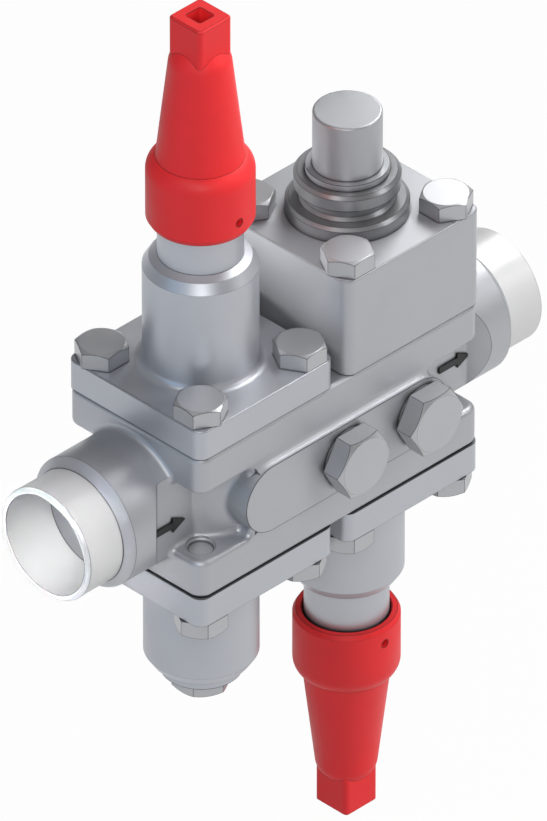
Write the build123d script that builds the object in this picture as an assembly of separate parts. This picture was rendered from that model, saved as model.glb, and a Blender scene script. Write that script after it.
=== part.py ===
from build123d import *
import math
import os

os.makedirs("parts", exist_ok=True)

# Pipe line. The origin is the centre of the inlet weld face, +X runs with the flow.
face_to_face = 250.6
pipe_outer_diameter = 48.3
pipe_wall = 2.6
stub_length = 22.1
stub_socket_depth = 2.0
weld_bevel_width = 1.6
weld_bevel_depth = 1.2

# M12 fasteners, threads at their minor diameter
bolt_radius = 6.0
thread_depth = 0.9
tapped_hole_chamfer = 0.7
tapped_hole_length = 18.6
bolt_head_width = 19.0
bolt_head_height = 7.5
bolt_hole_clearance = 0.75
bolt_head_gap = 1.226
short_bolt_length = 29.0
tall_bolt_length = 60.0
hex_face_share = 0.953
hex_chamfer_angle = 30.0
hex_turn = 30.0

# Covers
cover_edge = 9.85
module_gap = 6.5
cover_corner_radius = 4.8
stop_cover_height = 13.4
filter_cover_height = 13.4
cover_edge_chamfer = 0.4
bonnet_radius = 22.8
bonnet_top = 91.2
bonnet_chamfer_width = 2.6
bonnet_chamfer_height = 4.1
bonnet_base_fillet = 3.4
spigot_depth = 5.0
spigot_inner_radius = 19.3

# Housing
root_round = 2.5
face_margin = 0.2
flange_bottom = 16.0
flange_corner_radius = 5.8
web_round = 2.8
collar_wall = 3.75
collar_front_length = 3.7
neck_half_width = 20.5
pocket_reach = 7.75
boss_step = 1.0
boss_protrusion = 3.2
boss_edge_land = 0.1
arrow_length = 16.5
arrow_shaft_length = 10.0
arrow_shaft_width = 2.6
arrow_head_width = 6.4
arrow_relief = 0.8
arrow_drop = 4.5
arrow_inset = 1.5

# Flow ways in the housing
chamber_radius = 25.0
web_half = 4.0
port_radius = 12.0
way_radius = 11.0
transfer_radius = 8.5
way_height = 22.0
gasket_width = 3.0

# Stop valve: neck, spindle, packing and cone
neck_radius = 16.9
neck_base_rise = 1.7
neck_plain_length = 19.0
neck_thread_length = 15.0
neck_thread_step = 0.5
neck_top_chamfer = 0.8
spindle_radius = 8.0
spindle_stem_radius = 5.5
spindle_head_radius = 7.6
spindle_head_height = 3.0
spindle_neck_radius = 5.3
spindle_neck_length = 6.0
spindle_square = 7.9
spindle_square_length = 13.0
spindle_end_rise = 19.0
backseat_rise = 2.2
backseat_slope = 2.5
backseat_land = 8.0
packing_radius = 10.5
packing_height = 9.0
gland_width = 19.0
gland_head_height = 6.0
gland_corner_clearance = 1.03
stop_lift = 10.0
cone_radius = 17.0
cone_height = 10.0
cone_edge_chamfer = 1.0
nose_clearance = 0.7
cone_nose_taper = 2.9
cone_nose_length = 9.0
cone_seal_height = 3.0
cone_seal_inset = 1.2
cone_pocket_clearance = 0.6
cone_floor = 2.6

# Seal cap
cap_overlap = 3.0
cap_skirt_wall = 4.5
cap_shoulder_rise = 9.4
cap_shoulder_slope = 2.1
cap_shoulder_round = 7.3
cap_cone_base_radius = 17.5
cap_cone_length = 46.3
cap_cone_top_radius = 12.2
cap_cone_top_round = 8.0
cap_roof_radius = 8.0
cap_roof_rise = 4.9
cap_square_length = 13.4
cap_square_root = 3.0
cap_square = 17.8
cap_square_round = 2.2
cap_square_chamfer = 0.8
cap_socket = 8.1
cap_socket_round = 1.2
cap_socket_depth = 14.0
cap_wall = 3.6
cap_cavity_roof = 6.8
cap_mouth_clearance = 0.6
cap_mouth_chamfer = 0.6
cap_mouth_depth = 4.3
cap_rim_chamfer_width = 1.2
cap_rim_chamfer_height = 2.1
cap_gasket_height = 2.0
vent_radius = 1.8
vent_height = 7.5

# Control valve
adaptor_ring_radius = 24.5
adaptor_ring_height = 6.5
adaptor_neck_radius = 17.8
adaptor_neck_length = 6.0
adaptor_collar_radius = 21.1
adaptor_collar_height = 6.5
adaptor_edge_chamfer = 1.4
adaptor_thread_radius = 18.5
adaptor_thread_length = 12.5
adaptor_nose_length = 3.9
adaptor_bore_radius = 15.0
adaptor_nose_wall = 1.4
adaptor_seal_height = 1.6
adaptor_seal_width = 1.9
sleeve_radius = 13.75
sleeve_wall = 0.9
sleeve_length = 24.8
sleeve_edge_round = 1.0
sleeve_flange_radius = 16.6
sleeve_flange_depth = 5.0
sleeve_flange_height = 7.7
magnet_rise = 7.0
magnet_height = 21.0
magnet_inner_radius = 6.5
magnet_gap = 0.55
rotor_collar_radius = 9.5
rotor_collar_height = 2.5
stem_radius = 5.0
stem_end_gap = 0.9
control_lift = 8.0
insert_seal_height = 1.5
insert_seal_radius = 19.5
insert_foot_height = 5.0
insert_foot_radius = 20.0
insert_window_height = 8.1
insert_post_width = 8.0
insert_post_count = 4
insert_post_turn = 45.0
control_cone_radius = 13.8
control_cone_height = 20.0
control_cone_floor = 2.5
control_nose_clearance = 0.6
control_nose_taper = 2.4
control_nose_length = 5.0
control_seal_height = 2.0
control_cavity_radius = 16.5
control_cavity_height = 11.0
bush_wall = 2.4
bush_length = 9.0
bearing_outer_radius = 13.0
bearing_width = 8.0
bearing_ball_radius = 2.4
bearing_race_gap = 2.2
ball_count = 7

# Filter
filter_cup_floor = 6.0
filter_boss_radius = 16.4
filter_boss_length = 5.4
strainer_radius = 17.0
strainer_wall = 1.2
strainer_length = 70.0
strainer_rim_radius = 18.6
strainer_mouth_radius = 13.2
strainer_ring_height = 3.0
strainer_hole_radius = 3.0
strainer_columns = 8
strainer_rows = 7
mesh_wall = 0.4
mesh_gap = 0.1
spring_wire_radius = 0.9
spring_radius = 12.5
spring_turns = 3
drain_width = 21.0
drain_head_height = 7.0
drain_thread_radius = 6.5
drain_thread_length = 9.0
drain_washer_radius = 11.0
drain_washer_height = 1.2

# Side plugs, G 1/2 with the thread at its minor diameter
plug_width = 25.5
plug_head_height = 9.0
plug_thread_radius = 9.5
plug_thread_length = 12.0
plug_port_depth = 14.0
plug_washer_radius = 12.7
plug_washer_height = 1.5
plug_drill_radius = 2.6
plug_drill_reach = 10.0

# Clearances
thread_clearance = 0.05
slide_clearance = 0.06
spigot_clearance = 0.1
seat_gap = 0.1
loose_clearance = 0.3
gasket_thickness = 1.0
gasket_clearance = 0.1
spring_clearance = 0.1
cut_extra = 1.0
match_tolerance = 0.01
edge_shares = (0.05, 0.35, 0.65, 0.95)

# Bolts stand clear of the bonnet's foot, the cover is as wide as they need, and the covers stand a gap apart
bolt_head_corner = bolt_head_width / math.sqrt(3)
bolt_half = (bonnet_radius + bonnet_base_fillet + bolt_head_gap + bolt_head_corner) / math.sqrt(2)
bolt_hole_radius = bolt_radius + bolt_hole_clearance
tapped_radius = bolt_radius - thread_depth
cover_width = 2 * (bolt_half + cover_edge)
module_spacing = cover_width + module_gap

# Housing places, worked out from the sizes above
mid_x = face_to_face / 2
inlet_x = mid_x - module_spacing / 2
outlet_x = mid_x + module_spacing / 2
housing_half_length = (module_spacing + cover_width) / 2
pocket_start = housing_half_length + pocket_reach
pipe_radius = pipe_outer_diameter / 2
pipe_bore_radius = pipe_radius - pipe_wall
stub_end = stub_length + stub_socket_depth
collar_radius = pipe_radius + collar_wall
collar_front = stub_length - collar_front_length
flange_top = collar_radius + 2 * root_round + face_margin
core_radius = cover_width / 2 - 2 * root_round
boss_half_height = flange_bottom - boss_step
boss_reach = cover_width / 2 + boss_protrusion
boss_root_round = boss_protrusion - boss_edge_land
gasket_seat_radius = chamber_radius + gasket_width
spigot_end = flange_top - spigot_depth
plug_face = boss_reach + plug_washer_height

# Stop valve places, heights above the middle of the housing
stop_cover_top = flange_top + stop_cover_height
bonnet_end = bonnet_top + bonnet_chamfer_height
bonnet_foot_radius = bonnet_radius + 2 * bonnet_base_fillet
neck_base = bonnet_end + neck_base_rise
neck_thread_start = neck_base + neck_plain_length
neck_top = neck_thread_start + neck_thread_length
neck_thread_radius = neck_radius - neck_thread_step
backseat_height = bonnet_end + backseat_rise
packing_bottom = backseat_height + backseat_slope + backseat_land
spindle_top = neck_top + spindle_end_rise
cone_nose_radius = port_radius - nose_clearance
cone_nose_tip_radius = cone_nose_radius - cone_nose_taper
cone_seal_radius = cone_radius - cone_seal_inset
cone_pocket_radius = spindle_head_radius + cone_pocket_clearance
seal_bottom = web_half + seat_gap
cone_bottom = seal_bottom + cone_seal_height
cone_top = cone_bottom + cone_height
pocket_bottom = cone_bottom + cone_floor
head_bottom = pocket_bottom + seat_gap
head_top = head_bottom + spindle_head_height

# Seal cap places
cap_rim = neck_thread_start - cap_overlap
cap_skirt_radius = neck_radius + cap_skirt_wall
cap_shoulder_height = neck_top + cap_shoulder_rise
cap_cone_base = cap_shoulder_height + cap_shoulder_slope
cap_cone_top = cap_cone_base + cap_cone_length
cap_cavity_top = cap_cone_top - cap_cavity_roof
cap_roof_top = cap_cone_top + cap_roof_rise
cap_top = cap_roof_top + cap_square_length
cap_gasket_top = neck_top + cap_gasket_height
cap_gasket_inner_radius = gland_width / math.sqrt(3) + gland_corner_clearance

# Control valve places, heights above the middle of the housing
insert_bottom = web_half + insert_seal_height
insert_seat = insert_bottom + insert_foot_height
insert_ring_bottom = insert_seat + insert_window_height
control_nose_radius = port_radius - control_nose_clearance
control_nose_tip_radius = control_nose_radius - control_nose_taper
control_seal_bottom = insert_seat + seat_gap
control_cone_bottom = control_seal_bottom + control_seal_height
control_cone_top = control_cone_bottom + control_cone_height
stem_bottom = control_cone_bottom + control_cone_floor + control_lift + stem_end_gap
control_cavity_top = flange_top + control_cavity_height
bush_top = control_cavity_top + bush_length
bearing_top = bush_top + bearing_width
adaptor_thread_bottom = bearing_top + adaptor_nose_length
control_cover_top = adaptor_thread_bottom + adaptor_thread_length
control_cover_height = control_cover_top - flange_top
adaptor_ring_top = control_cover_top + adaptor_ring_height
adaptor_collar_bottom = adaptor_ring_top + adaptor_neck_length
adaptor_collar_top = adaptor_collar_bottom + adaptor_collar_height
sleeve_flange_bottom = adaptor_collar_top - sleeve_flange_depth
sleeve_flange_top = sleeve_flange_bottom + sleeve_flange_height
sleeve_top = sleeve_flange_top + sleeve_length
magnet_bottom = sleeve_flange_bottom + magnet_rise

# Filter places, heights below the middle of the housing
filter_cover_top = flange_top + filter_cover_height
cup_floor_height = bonnet_end - filter_cup_floor
strainer_top = web_half + seat_gap
strainer_end = strainer_top + strainer_length
filter_boss_end = bonnet_end + filter_boss_length
drain_face = filter_boss_end + drain_washer_height


def turned(outline):
    """A solid turned about Z from (radius, height, corner round) points."""
    points = [(radius, height) for radius, height, corner in outline]
    rounds = [corner for radius, height, corner in outline]
    wire = FilletPolyline(*points, radius=rounds, close=True)
    return revolve(Plane.XZ * make_face(wire), Axis.Z)


def rod(radius, bottom, top):
    """A cylinder on the Z axis between two heights."""
    return Pos(0, 0, (bottom + top) / 2) * Cylinder(radius, top - bottom)


def ring(outer, inner, bottom, top):
    """A plain ring on the Z axis."""
    return rod(outer, bottom, top) - rod(inner, bottom - cut_extra, top + cut_extra)


def rod_between(start, end, radius):
    """A cylinder from one point to another."""
    path = Vector(*end) - Vector(*start)
    place = Plane(origin=start, z_dir=path)
    return place * Pos(0, 0, path.length / 2) * Cylinder(radius, path.length)


def bolt_places():
    """The four bolt centres round a module axis."""
    return [(x * bolt_half, y * bolt_half) for x in (-1, 1) for y in (-1, 1)]


def in_place(shape, place_x, upward):
    """Moves a shape from module heights to its place above or below the housing."""
    if upward:
        return Pos(place_x, 0, 0) * shape
    return Pos(place_x, 0, 0) * Rot(0, 180, 0) * shape


def facing_front(shape, place_x, face):
    """Turns a shape made on z = 0 to stand out of the housing's front at a place along X."""
    return Plane(origin=(place_x, -face, 0), x_dir=(1, 0, 0), z_dir=(0, -1, 0)) * shape


def hex_head(width, height, turn=0.0):
    """A hex head on z = 0 with its outer corners chamfered at 30 degrees."""
    corner = width / math.sqrt(3)
    face = width / 2 * hex_face_share
    slope = math.tan(math.radians(hex_chamfer_angle))
    wide = corner + cut_extra
    limit = turned([
        (0, 0, 0),
        (wide, 0, 0),
        (wide, height - (wide - face) * slope, 0),
        (face, height, 0),
        (0, height, 0),
    ])
    return extrude(Rot(0, 0, turn) * RegularPolygon(corner, 6), height) & limit


def cover_plate(height):
    """A square cover with its four bolt holes."""
    plate = extrude(RectangleRounded(cover_width, cover_width, cover_corner_radius), height)
    plate = chamfer(plate.faces().sort_by(Axis.Z)[-1].edges(), cover_edge_chamfer)
    for x, y in bolt_places():
        plate -= Pos(x, y, height / 2) * Cylinder(bolt_hole_radius, height + 2 * cut_extra)
    return Pos(0, 0, flange_top) * plate


def cover_spigot():
    """The ring under a cover that centres it in its chamber."""
    return rod(chamber_radius - spigot_clearance, spigot_end, flange_top)


def cover_bolts(cover_top, length, quarter_turned):
    """The four bolts of one module, each with its own way round."""
    bolts = []
    for x, y in bolt_places():
        corners_along_y = (x * y > 0) != quarter_turned
        head = hex_head(bolt_head_width, bolt_head_height, hex_turn if corners_along_y else 0.0)
        bolt = Pos(0, 0, cover_top) * head
        bolt += rod(bolt_radius, flange_top, cover_top)
        bolt += rod(tapped_radius - thread_clearance, cover_top - length, flange_top)
        bolts.append(Pos(x, y, 0) * bolt)
    return bolts


def cover_gasket():
    """The flat gasket in the recess round a chamber mouth."""
    outer = gasket_seat_radius - gasket_clearance
    inner = chamber_radius + gasket_clearance
    return ring(outer, inner, flange_top - gasket_thickness, flange_top)


def housing_flange():
    """The upper flange, with its edges still sharp."""
    outline = RectangleRounded(2 * housing_half_length, cover_width, flange_corner_radius)
    return Pos(mid_x, 0, flange_bottom) * extrude(outline, flange_top - flange_bottom)


def boss_outline(half_height):
    """A slot shape in the XZ plane, as long as the module spacing."""
    return Pos(mid_x, 0, 0) * Plane.XZ * SlotCenterToCenter(module_spacing, 2 * half_height)


def web_round_centre():
    """Centre of the hollow round between a boss end and a flange, from the boss end's own centre."""
    height = flange_bottom - web_round
    return math.sqrt((boss_half_height + web_round) ** 2 - height ** 2), height


def boss_web(place_x, outward):
    """The webs that join the round end of the bosses to both flanges."""
    reach, height = web_round_centre()
    share = boss_half_height / (boss_half_height + web_round)
    top = flange_bottom + cut_extra
    outline = Polyline((outward * reach, flange_bottom), (outward * reach, top), (0, top), (0, 0))
    outline += Line((0, 0), (outward * reach * share, height * share))
    outline += ThreePointArc(
        (outward * reach * share, height * share),
        (outward * (reach - web_round), height),
        (outward * reach, flange_bottom),
    )
    web = Pos(place_x, 0, 0) * extrude(Plane.XZ * make_face(outline), cover_width / 2, both=True)
    return web + mirror(web, Plane.XY)


def side_boss():
    """The front boss, with a hollow round where it stands on the flanges' faces."""
    ledge = extrude(boss_outline(boss_half_height + boss_protrusion), cover_width / 2)
    boss = extrude(boss_outline(boss_half_height), boss_reach)
    foot = [edge for edge in (boss + ledge).edges() if all_along(edge, on_boss_foot)]
    flare = fillet(foot, boss_root_round)
    reach, height = web_round_centre()
    flare -= Pos(mid_x, 0, 0) * Box(2 * housing_half_length, 2 * boss_reach + cut_extra, 2 * height)
    for centre_x in (inlet_x - reach, outlet_x + reach):
        for side in (-1, 1):
            start = (centre_x, 0, side * height)
            flare -= rod_between(start, (centre_x, -boss_reach - cut_extra, side * height), web_round + root_round)
    return boss + flare


def all_along(edge, test):
    """True where a test holds along the whole of an edge."""
    return all(test(edge.position_at(share)) for share in edge_shares)


def near(value, target):
    """True for two equal lengths."""
    return abs(value - target) < match_tolerance


def on_boss_foot(point):
    """Where the boss's side meets the plane of the flanges' faces."""
    past_end = max(0, abs(point.X - mid_x) - module_spacing / 2)
    on_side = near(math.hypot(past_end, point.Z), boss_half_height)
    return on_side and near(point.Y, -cover_width / 2)


def on_core(point):
    """Where anything meets the round cores between the flanges."""
    reaches = [math.hypot(point.X - place_x, point.Y) for place_x in (inlet_x, outlet_x)]
    return abs(point.Z) < flange_bottom + match_tolerance and near(min(reaches), core_radius)


def on_neck_flat(point):
    """Where a neck's flat sides meet the flanges' undersides or its own pocket walls."""
    on_wall = near(abs(point.X - mid_x), pocket_start)
    return near(abs(point.Y), neck_half_width) and (on_wall or near(abs(point.Z), flange_bottom))


def on_neck_root(point):
    """Where a neck meets the flanges' end faces."""
    on_barrel = near(math.hypot(point.Y, point.Z), collar_radius)
    on_side = near(abs(point.Y), neck_half_width) and abs(point.Z) > flange_bottom - match_tolerance
    return near(abs(point.X - mid_x), housing_half_length) and (on_barrel or on_side)


def on_lower_rim(point):
    """The flanges' lower rims, with the webs' and the boss stubs' own rims."""
    if not near(abs(point.Z), flange_bottom):
        return abs(point.Z) < flange_bottom and near(abs(point.Y), cover_width / 2)
    past_x = abs(point.X - mid_x) - housing_half_length + flange_corner_radius
    past_y = abs(point.Y) - cover_width / 2 + flange_corner_radius
    reach = math.hypot(max(0, past_x), max(0, past_y))
    return near(reach, flange_corner_radius)


def on_upper_rim(point):
    """The rims of the flanges' machined faces."""
    return near(abs(point.Z), flange_top)


def housing_outside():
    """The casting's outer form, with every root and rim rounded."""
    flange = housing_flange()
    shape = flange + mirror(flange, Plane.XY)
    middle = 2 * (flange_bottom + cut_extra)
    for place_x in (inlet_x, outlet_x):
        shape += Pos(place_x, 0, 0) * Cylinder(core_radius, middle)
    shape += Pos(mid_x, 0, 0) * Box(module_spacing, cover_width, middle)
    shape += extrude(boss_outline(boss_half_height), cover_width / 2, both=True)
    shape += boss_web(inlet_x, -1) + boss_web(outlet_x, 1)
    shape += collar() + turned_round(collar())
    tests = (on_core, on_neck_flat, on_neck_root, on_lower_rim, on_upper_rim)
    shape = fillet([edge for edge in shape.edges() if any(all_along(edge, test) for test in tests)], root_round)
    return shape + side_boss() + mirror(side_boss(), Plane.XZ)


def collar():
    """The round inlet collar and its neck, drawn in by flat pockets for the bolts."""
    barrel = Rot(0, 90, 0) * turned([
        (0, collar_front, 0),
        (pipe_radius + thread_clearance, collar_front, 0),
        (collar_radius, stub_length, 0),
        (collar_radius, inlet_x, 0),
        (0, inlet_x, 0),
    ])
    flat_x = mid_x - pocket_start
    wide = collar_radius + cut_extra
    wall_x = flat_x - (wide - neck_half_width)
    plan = Polyline(
        (collar_front, -wide),
        (wall_x, -wide),
        (flat_x, -neck_half_width),
        (inlet_x, -neck_half_width),
        (inlet_x, neck_half_width),
        (flat_x, neck_half_width),
        (wall_x, wide),
        (collar_front, wide),
        close=True,
    )
    return barrel & extrude(make_face(plan), wide, both=True)


def flow_arrow(start_x):
    """A raised arrow along the flow, on the flat of a neck, on the front."""
    shaft = arrow_shaft_width / 2
    head = arrow_head_width / 2
    outline = Polyline(
        (0, -shaft),
        (arrow_shaft_length, -shaft),
        (arrow_shaft_length, -head),
        (arrow_length, 0),
        (arrow_shaft_length, head),
        (arrow_shaft_length, shaft),
        (0, shaft),
        close=True,
    )
    sketch = Pos(start_x, -neck_half_width, -arrow_drop) * Plane.XZ * make_face(outline)
    return extrude(sketch, arrow_relief) + extrude(sketch, -arrow_relief)


def turned_round(shape):
    """The same feature at the other end, turned half a turn about the housing's middle."""
    return Pos(mid_x, 0, 0) * Rot(0, 180, 0) * Pos(-mid_x, 0, 0) * shape


def inlet_way():
    """The pipe socket, the round-ended bore and the way up into the first chamber."""
    way = rod_between((0, 0, 0), (stub_end, 0, 0), pipe_radius + thread_clearance)
    way += Pos(stub_end, 0, 0) * Sphere(pipe_bore_radius)
    way += rod_between((stub_end, 0, 0), (inlet_x, 0, way_height), way_radius)
    return way


def tapped_hole(through):
    """A tapped hole on the Z axis, with a chamfered mouth where it comes out under the flange."""
    hole = rod(tapped_radius, flange_top - tapped_hole_length, flange_top + cut_extra)
    if not through:
        return hole
    mouth_radius = tapped_radius + tapped_hole_chamfer
    return hole + turned([
        (0, flange_bottom - cut_extra, 0),
        (mouth_radius, flange_bottom - cut_extra, 0),
        (mouth_radius, flange_bottom, 0),
        (tapped_radius, flange_bottom + tapped_hole_chamfer, 0),
        (0, flange_bottom + tapped_hole_chamfer, 0),
    ])


def chamber(place_x, upward):
    """One module chamber with its gasket recess and tapped holes."""
    cut = rod(chamber_radius, web_half, flange_top + cut_extra)
    cut += rod(gasket_seat_radius, flange_top - gasket_thickness, flange_top + cut_extra)
    for x, y in bolt_places():
        at_low_end = (x < 0) == upward
        cut += Pos(x, y, 0) * tapped_hole(at_low_end == (place_x < mid_x))
    return in_place(cut, place_x, upward)


def plug_port(place_x):
    """A side port for one plug."""
    port = rod_between(
        (place_x, -boss_reach - cut_extra, 0),
        (place_x, -boss_reach + plug_port_depth, 0),
        plug_thread_radius,
    )
    return port


def make_housing():
    """The cast housing with all its ways cut."""
    shape = housing_outside()
    shape += flow_arrow(mid_x - pocket_start + arrow_inset)
    shape += flow_arrow(mid_x + pocket_start - arrow_inset - arrow_length)
    shape -= inlet_way()
    shape -= turned_round(inlet_way())
    for place_x in (inlet_x, outlet_x):
        shape -= Pos(place_x, 0, 0) * rod(port_radius, -web_half - cut_extra, web_half + cut_extra)
        shape -= chamber(place_x, True)
        shape -= chamber(place_x, False)
    shape -= rod_between((inlet_x, 0, -way_height), (outlet_x, 0, way_height), transfer_radius)
    for place_x in (mid_x, outlet_x):
        shape -= plug_port(place_x)
    port_end = -boss_reach + plug_port_depth
    shape -= rod_between((mid_x, port_end - cut_extra, 0), (mid_x, 0, 0), plug_drill_radius)
    drill_end = port_end + plug_drill_reach
    shape -= rod_between(
        (outlet_x, port_end - cut_extra, 0),
        (outlet_x, drill_end, -plug_drill_reach),
        plug_drill_radius,
    )
    return shape


def make_stub():
    """The inlet pipe stub with its weld bevel."""
    tube = turned([
        (pipe_bore_radius, 0, 0),
        (pipe_radius - weld_bevel_width, 0, 0),
        (pipe_radius, weld_bevel_depth, 0),
        (pipe_radius, stub_end, 0),
        (pipe_bore_radius, stub_end, 0),
    ])
    return Rot(0, 90, 0) * tube


def make_side_plug(place_x):
    """A hex plug in a side port, flats up."""
    plug = hex_head(plug_width, plug_head_height)
    plug += rod(plug_thread_radius - thread_clearance, -plug_washer_height - plug_thread_length, 0)
    return facing_front(plug, place_x, plug_face)


def make_side_washer(place_x):
    """The flat sealing washer under a side plug."""
    washer = ring(plug_washer_radius, plug_thread_radius + gasket_clearance, 0, plug_washer_height)
    return facing_front(washer, place_x, boss_reach)


def make_bonnet():
    """A stop valve's bonnet: cover, tall round body and threaded neck."""
    body = turned([
        (0, flange_top, 0),
        (bonnet_foot_radius, flange_top, 0),
        (bonnet_foot_radius, stop_cover_top, 0),
        (bonnet_radius, stop_cover_top, bonnet_base_fillet),
        (bonnet_radius, bonnet_top, 0),
        (bonnet_radius - bonnet_chamfer_width, bonnet_end, 0),
        (neck_radius, neck_base, 0),
        (neck_radius, neck_thread_start, 0),
        (neck_thread_radius, neck_thread_start, 0),
        (neck_thread_radius, neck_top - neck_top_chamfer, 0),
        (neck_thread_radius - neck_top_chamfer, neck_top, 0),
        (0, neck_top, 0),
    ])
    bore = turned([
        (0, spigot_end, 0),
        (spigot_inner_radius, spigot_end - cut_extra, 0),
        (spigot_inner_radius, flange_top, 0),
        (spindle_radius + slide_clearance, flange_top, 0),
        (spindle_radius + slide_clearance, backseat_height, 0),
        (spindle_stem_radius + slide_clearance, backseat_height + backseat_slope, 0),
        (spindle_stem_radius + slide_clearance, packing_bottom, 0),
        (packing_radius, packing_bottom, 0),
        (packing_radius, neck_top + cut_extra, 0),
        (0, neck_top + cut_extra, 0),
    ])
    return body + cover_plate(stop_cover_height) + cover_spigot() - bore


def make_packing():
    """The packing round the spindle."""
    outer = packing_radius - thread_clearance
    inner = spindle_stem_radius + slide_clearance
    return ring(outer, inner, packing_bottom, packing_bottom + packing_height)


def make_gland():
    """The gland nut that presses the packing."""
    bottom = packing_bottom + packing_height
    top = neck_top + gland_head_height
    nut = rod(packing_radius - thread_clearance, bottom, neck_top)
    nut += Pos(0, 0, neck_top) * hex_head(gland_width, gland_head_height)
    return nut - rod(spindle_stem_radius + slide_clearance, bottom - cut_extra, top + cut_extra)


def make_spindle():
    """The valve spindle: head, neck, threaded body, stem and square."""
    shoulder = backseat_height - stop_lift - loose_clearance
    square_bottom = spindle_top - spindle_square_length
    shaft = turned([
        (0, head_bottom, 0),
        (spindle_head_radius, head_bottom, 0),
        (spindle_head_radius, head_top, 0),
        (spindle_neck_radius, head_top, 0),
        (spindle_neck_radius, head_top + spindle_neck_length, 0),
        (spindle_radius, head_top + spindle_neck_length, 0),
        (spindle_radius, shoulder, 0),
        (spindle_stem_radius, shoulder + backseat_slope, 0),
        (spindle_stem_radius, square_bottom, 0),
        (0, square_bottom, 0),
    ])
    square = extrude(Pos(0, 0, square_bottom) * Rectangle(spindle_square, spindle_square), spindle_square_length)
    return shaft + (square & rod(spindle_stem_radius, square_bottom, spindle_top))


def make_cone():
    """The stop valve's cone with its nose and the pocket for the spindle head."""
    body = turned([
        (0, cone_bottom - cone_nose_length, 0),
        (cone_nose_tip_radius, cone_bottom - cone_nose_length, 0),
        (cone_nose_radius, seal_bottom, 0),
        (cone_nose_radius, cone_bottom, 0),
        (cone_radius, cone_bottom, 0),
        (cone_radius, cone_top - cone_edge_chamfer, 0),
        (cone_radius - cone_edge_chamfer, cone_top, 0),
        (0, cone_top, 0),
    ])
    return body - rod(cone_pocket_radius, pocket_bottom, cone_top + cut_extra)


def make_cone_seal():
    """The soft ring that closes on the seat round the port."""
    return ring(cone_seal_radius, cone_nose_radius + thread_clearance, seal_bottom, cone_bottom)


def make_retainer():
    """The threaded ring that keeps the spindle head in the cone."""
    inner = spindle_neck_radius + 2 * seat_gap
    return ring(cone_pocket_radius - thread_clearance, inner, head_top + seat_gap, cone_top)


def make_cap():
    """The seal cap with its square head, square socket, hollow inside and vent hole."""
    outside = turned([
        (0, cap_rim, 0),
        (cap_skirt_radius - cap_rim_chamfer_width, cap_rim, 0),
        (cap_skirt_radius, cap_rim + cap_rim_chamfer_height, 0),
        (cap_skirt_radius, cap_shoulder_height, cap_shoulder_round),
        (cap_cone_base_radius, cap_cone_base, 0),
        (cap_cone_top_radius, cap_cone_top, cap_cone_top_round),
        (cap_roof_radius, cap_roof_top, 0),
        (0, cap_roof_top, 0),
    ])
    square_bottom = cap_cone_top - cap_square_root
    square = extrude(RectangleRounded(cap_square, cap_square, cap_square_round), cap_top - square_bottom)
    square = chamfer(square.faces().sort_by(Axis.Z)[-1].edges(), cap_square_chamfer)
    socket = extrude(RectangleRounded(cap_socket, cap_socket, cap_socket_round), cap_socket_depth)
    mouth_radius = neck_radius + cap_mouth_clearance
    thread_bore = neck_thread_radius + slide_clearance
    slope = (cap_cone_base_radius - cap_cone_top_radius) / (cap_cone_top - cap_cone_base)
    cavity_base = cap_cone_base_radius - cap_wall
    cavity_end = cavity_base - slope * (cap_cavity_top - cap_cone_base)
    inside = turned([
        (0, cap_rim - cut_extra, 0),
        (mouth_radius + cap_mouth_chamfer + cut_extra, cap_rim - cut_extra, 0),
        (mouth_radius, cap_rim + cap_mouth_chamfer, 0),
        (mouth_radius, cap_rim + cap_mouth_depth, 0),
        (thread_bore, cap_rim + cap_mouth_depth, 0),
        (thread_bore, cap_gasket_top, 0),
        (cavity_base, cap_gasket_top, 0),
        (cavity_base, cap_cone_base, 0),
        (cavity_end, cap_cavity_top, 0),
        (0, cap_cavity_top, 0),
    ])
    vent = rod_between(
        (0, -cap_skirt_radius - cut_extra, cap_rim + vent_height),
        (0, -neck_radius + cut_extra, cap_rim + vent_height),
        vent_radius,
    )
    cap = outside + Pos(0, 0, square_bottom) * square
    return cap - Pos(0, 0, cap_top - cap_socket_depth) * socket - inside - vent


def make_cap_gasket():
    """The flat ring that the cap presses on the neck."""
    outer = neck_thread_radius - thread_clearance
    return ring(outer, cap_gasket_inner_radius, neck_top, cap_gasket_top)


def make_filter_cover():
    """The filter's cover and cup with its drain boss."""
    cup = turned([
        (0, flange_top, 0),
        (bonnet_foot_radius, flange_top, 0),
        (bonnet_foot_radius, filter_cover_top, 0),
        (bonnet_radius, filter_cover_top, bonnet_base_fillet),
        (bonnet_radius, bonnet_top, 0),
        (bonnet_radius - bonnet_chamfer_width, bonnet_end, 0),
        (filter_boss_radius, bonnet_end + cut_extra, 0),
        (filter_boss_radius, filter_boss_end, 0),
        (0, filter_boss_end, 0),
    ])
    bore = rod(spigot_inner_radius, spigot_end - cut_extra, cup_floor_height)
    bore += rod(drain_thread_radius, cup_floor_height - cut_extra, filter_boss_end + cut_extra)
    return cup + cover_plate(filter_cover_height) + cover_spigot() - bore


def make_strainer_frame():
    """The perforated basket that carries the mesh."""
    wall = ring(strainer_radius, strainer_radius - strainer_wall, strainer_top, strainer_end)
    pitch = (strainer_length - 2 * strainer_ring_height) / strainer_rows
    for row in range(strainer_rows):
        height = strainer_top + strainer_ring_height + (row + 0.5) * pitch
        for column in range(strainer_columns // 2):
            turn = (column + 0.5 * (row % 2)) * 360 / strainer_columns
            hole = Rot(0, 90, 0) * Cylinder(strainer_hole_radius, 2 * strainer_radius + cut_extra)
            wall -= Pos(0, 0, height) * Rot(0, 0, turn) * hole
    mouth_end = strainer_top + strainer_ring_height
    rim = ring(strainer_rim_radius, strainer_mouth_radius, strainer_top, mouth_end)
    base = rod(strainer_radius, strainer_end - strainer_ring_height, strainer_end)
    return wall + rim + base


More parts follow.
